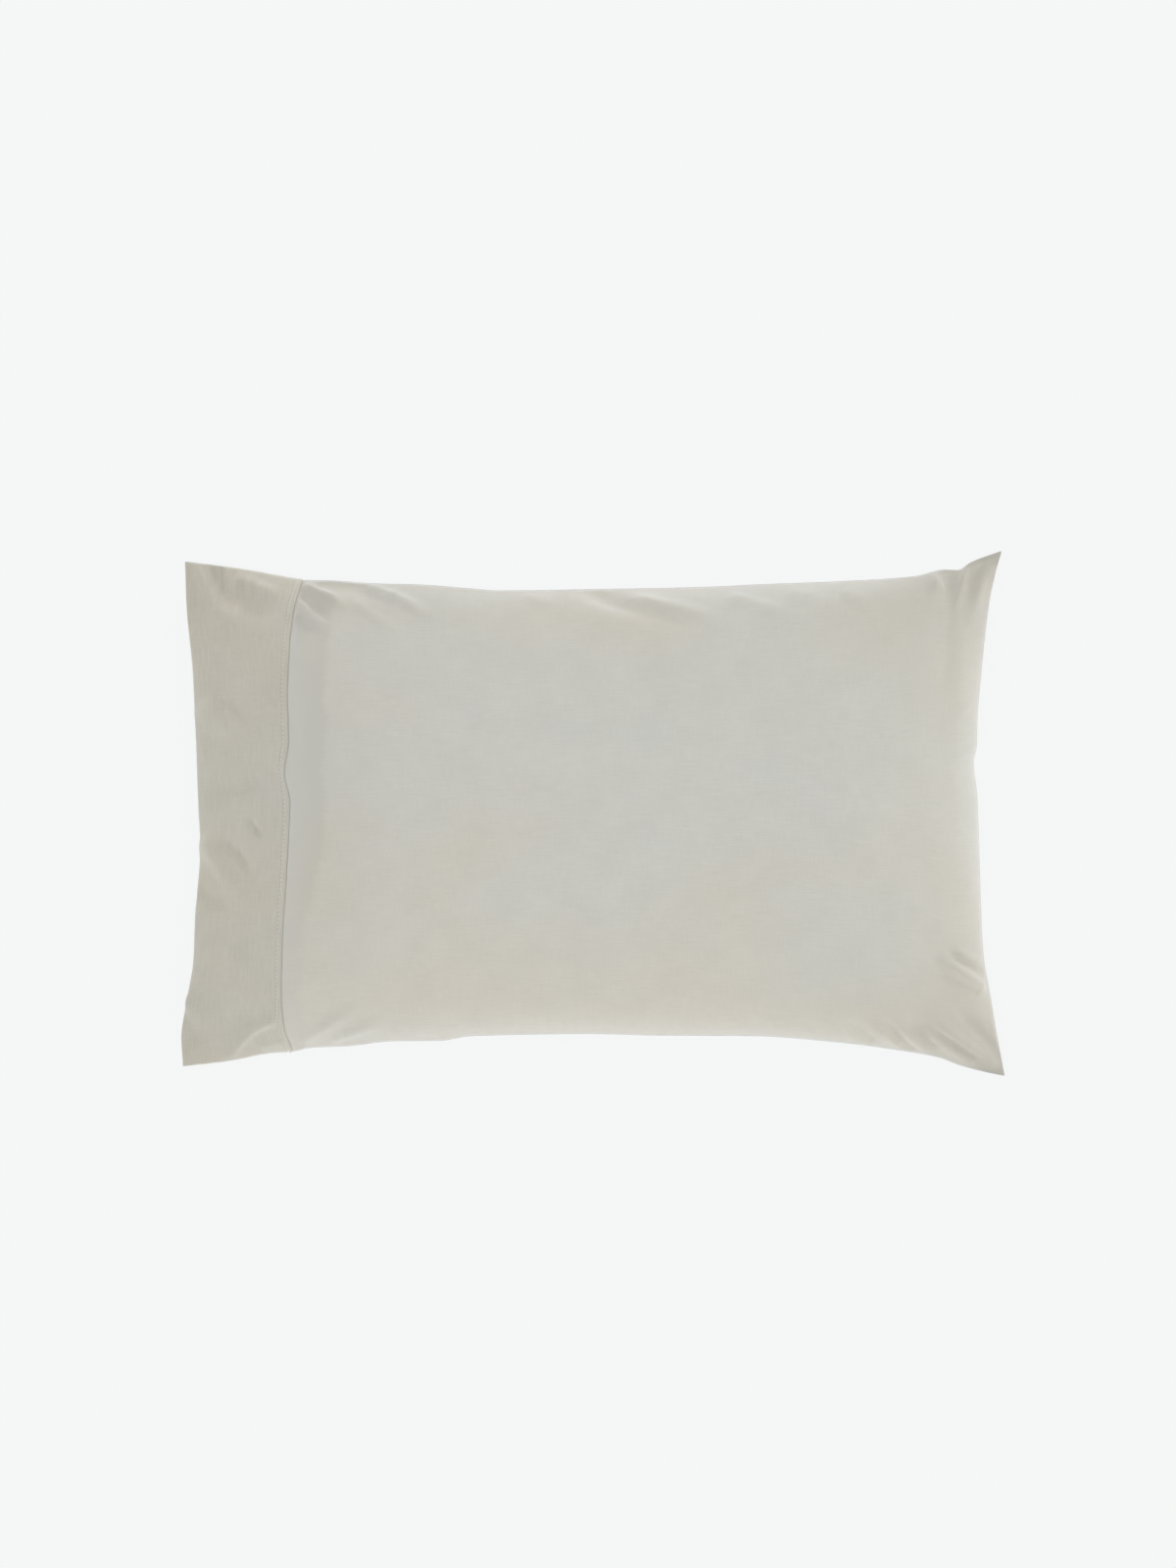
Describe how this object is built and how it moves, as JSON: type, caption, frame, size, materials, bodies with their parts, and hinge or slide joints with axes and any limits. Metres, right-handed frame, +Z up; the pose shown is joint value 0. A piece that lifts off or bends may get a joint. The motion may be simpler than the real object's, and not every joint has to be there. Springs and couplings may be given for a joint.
{
  "type": "pillowcase",
  "caption": "Plain pillowcase lying on its back over its pillow, with a doubled cuff round its open end and pointed closed-end corners.",
  "frame": {"origin": "middle of the bounding box at the level it rests on", "axes": "+X along the case from its open mouth to its closed end, +Y across the case, +Z up from the surface it lies on"},
  "size_m": [0.8048, 0.51, 0.169],
  "materials": {
    "body_cloth": "matte pale stone percale",
    "cuff_cloth": "matte pale stone percale, its weave across that of the body"
  },
  "bodies": {
    "root": {"case_body": "body_cloth", "cuff": "cuff_cloth"}
  },
  "joints": []
}
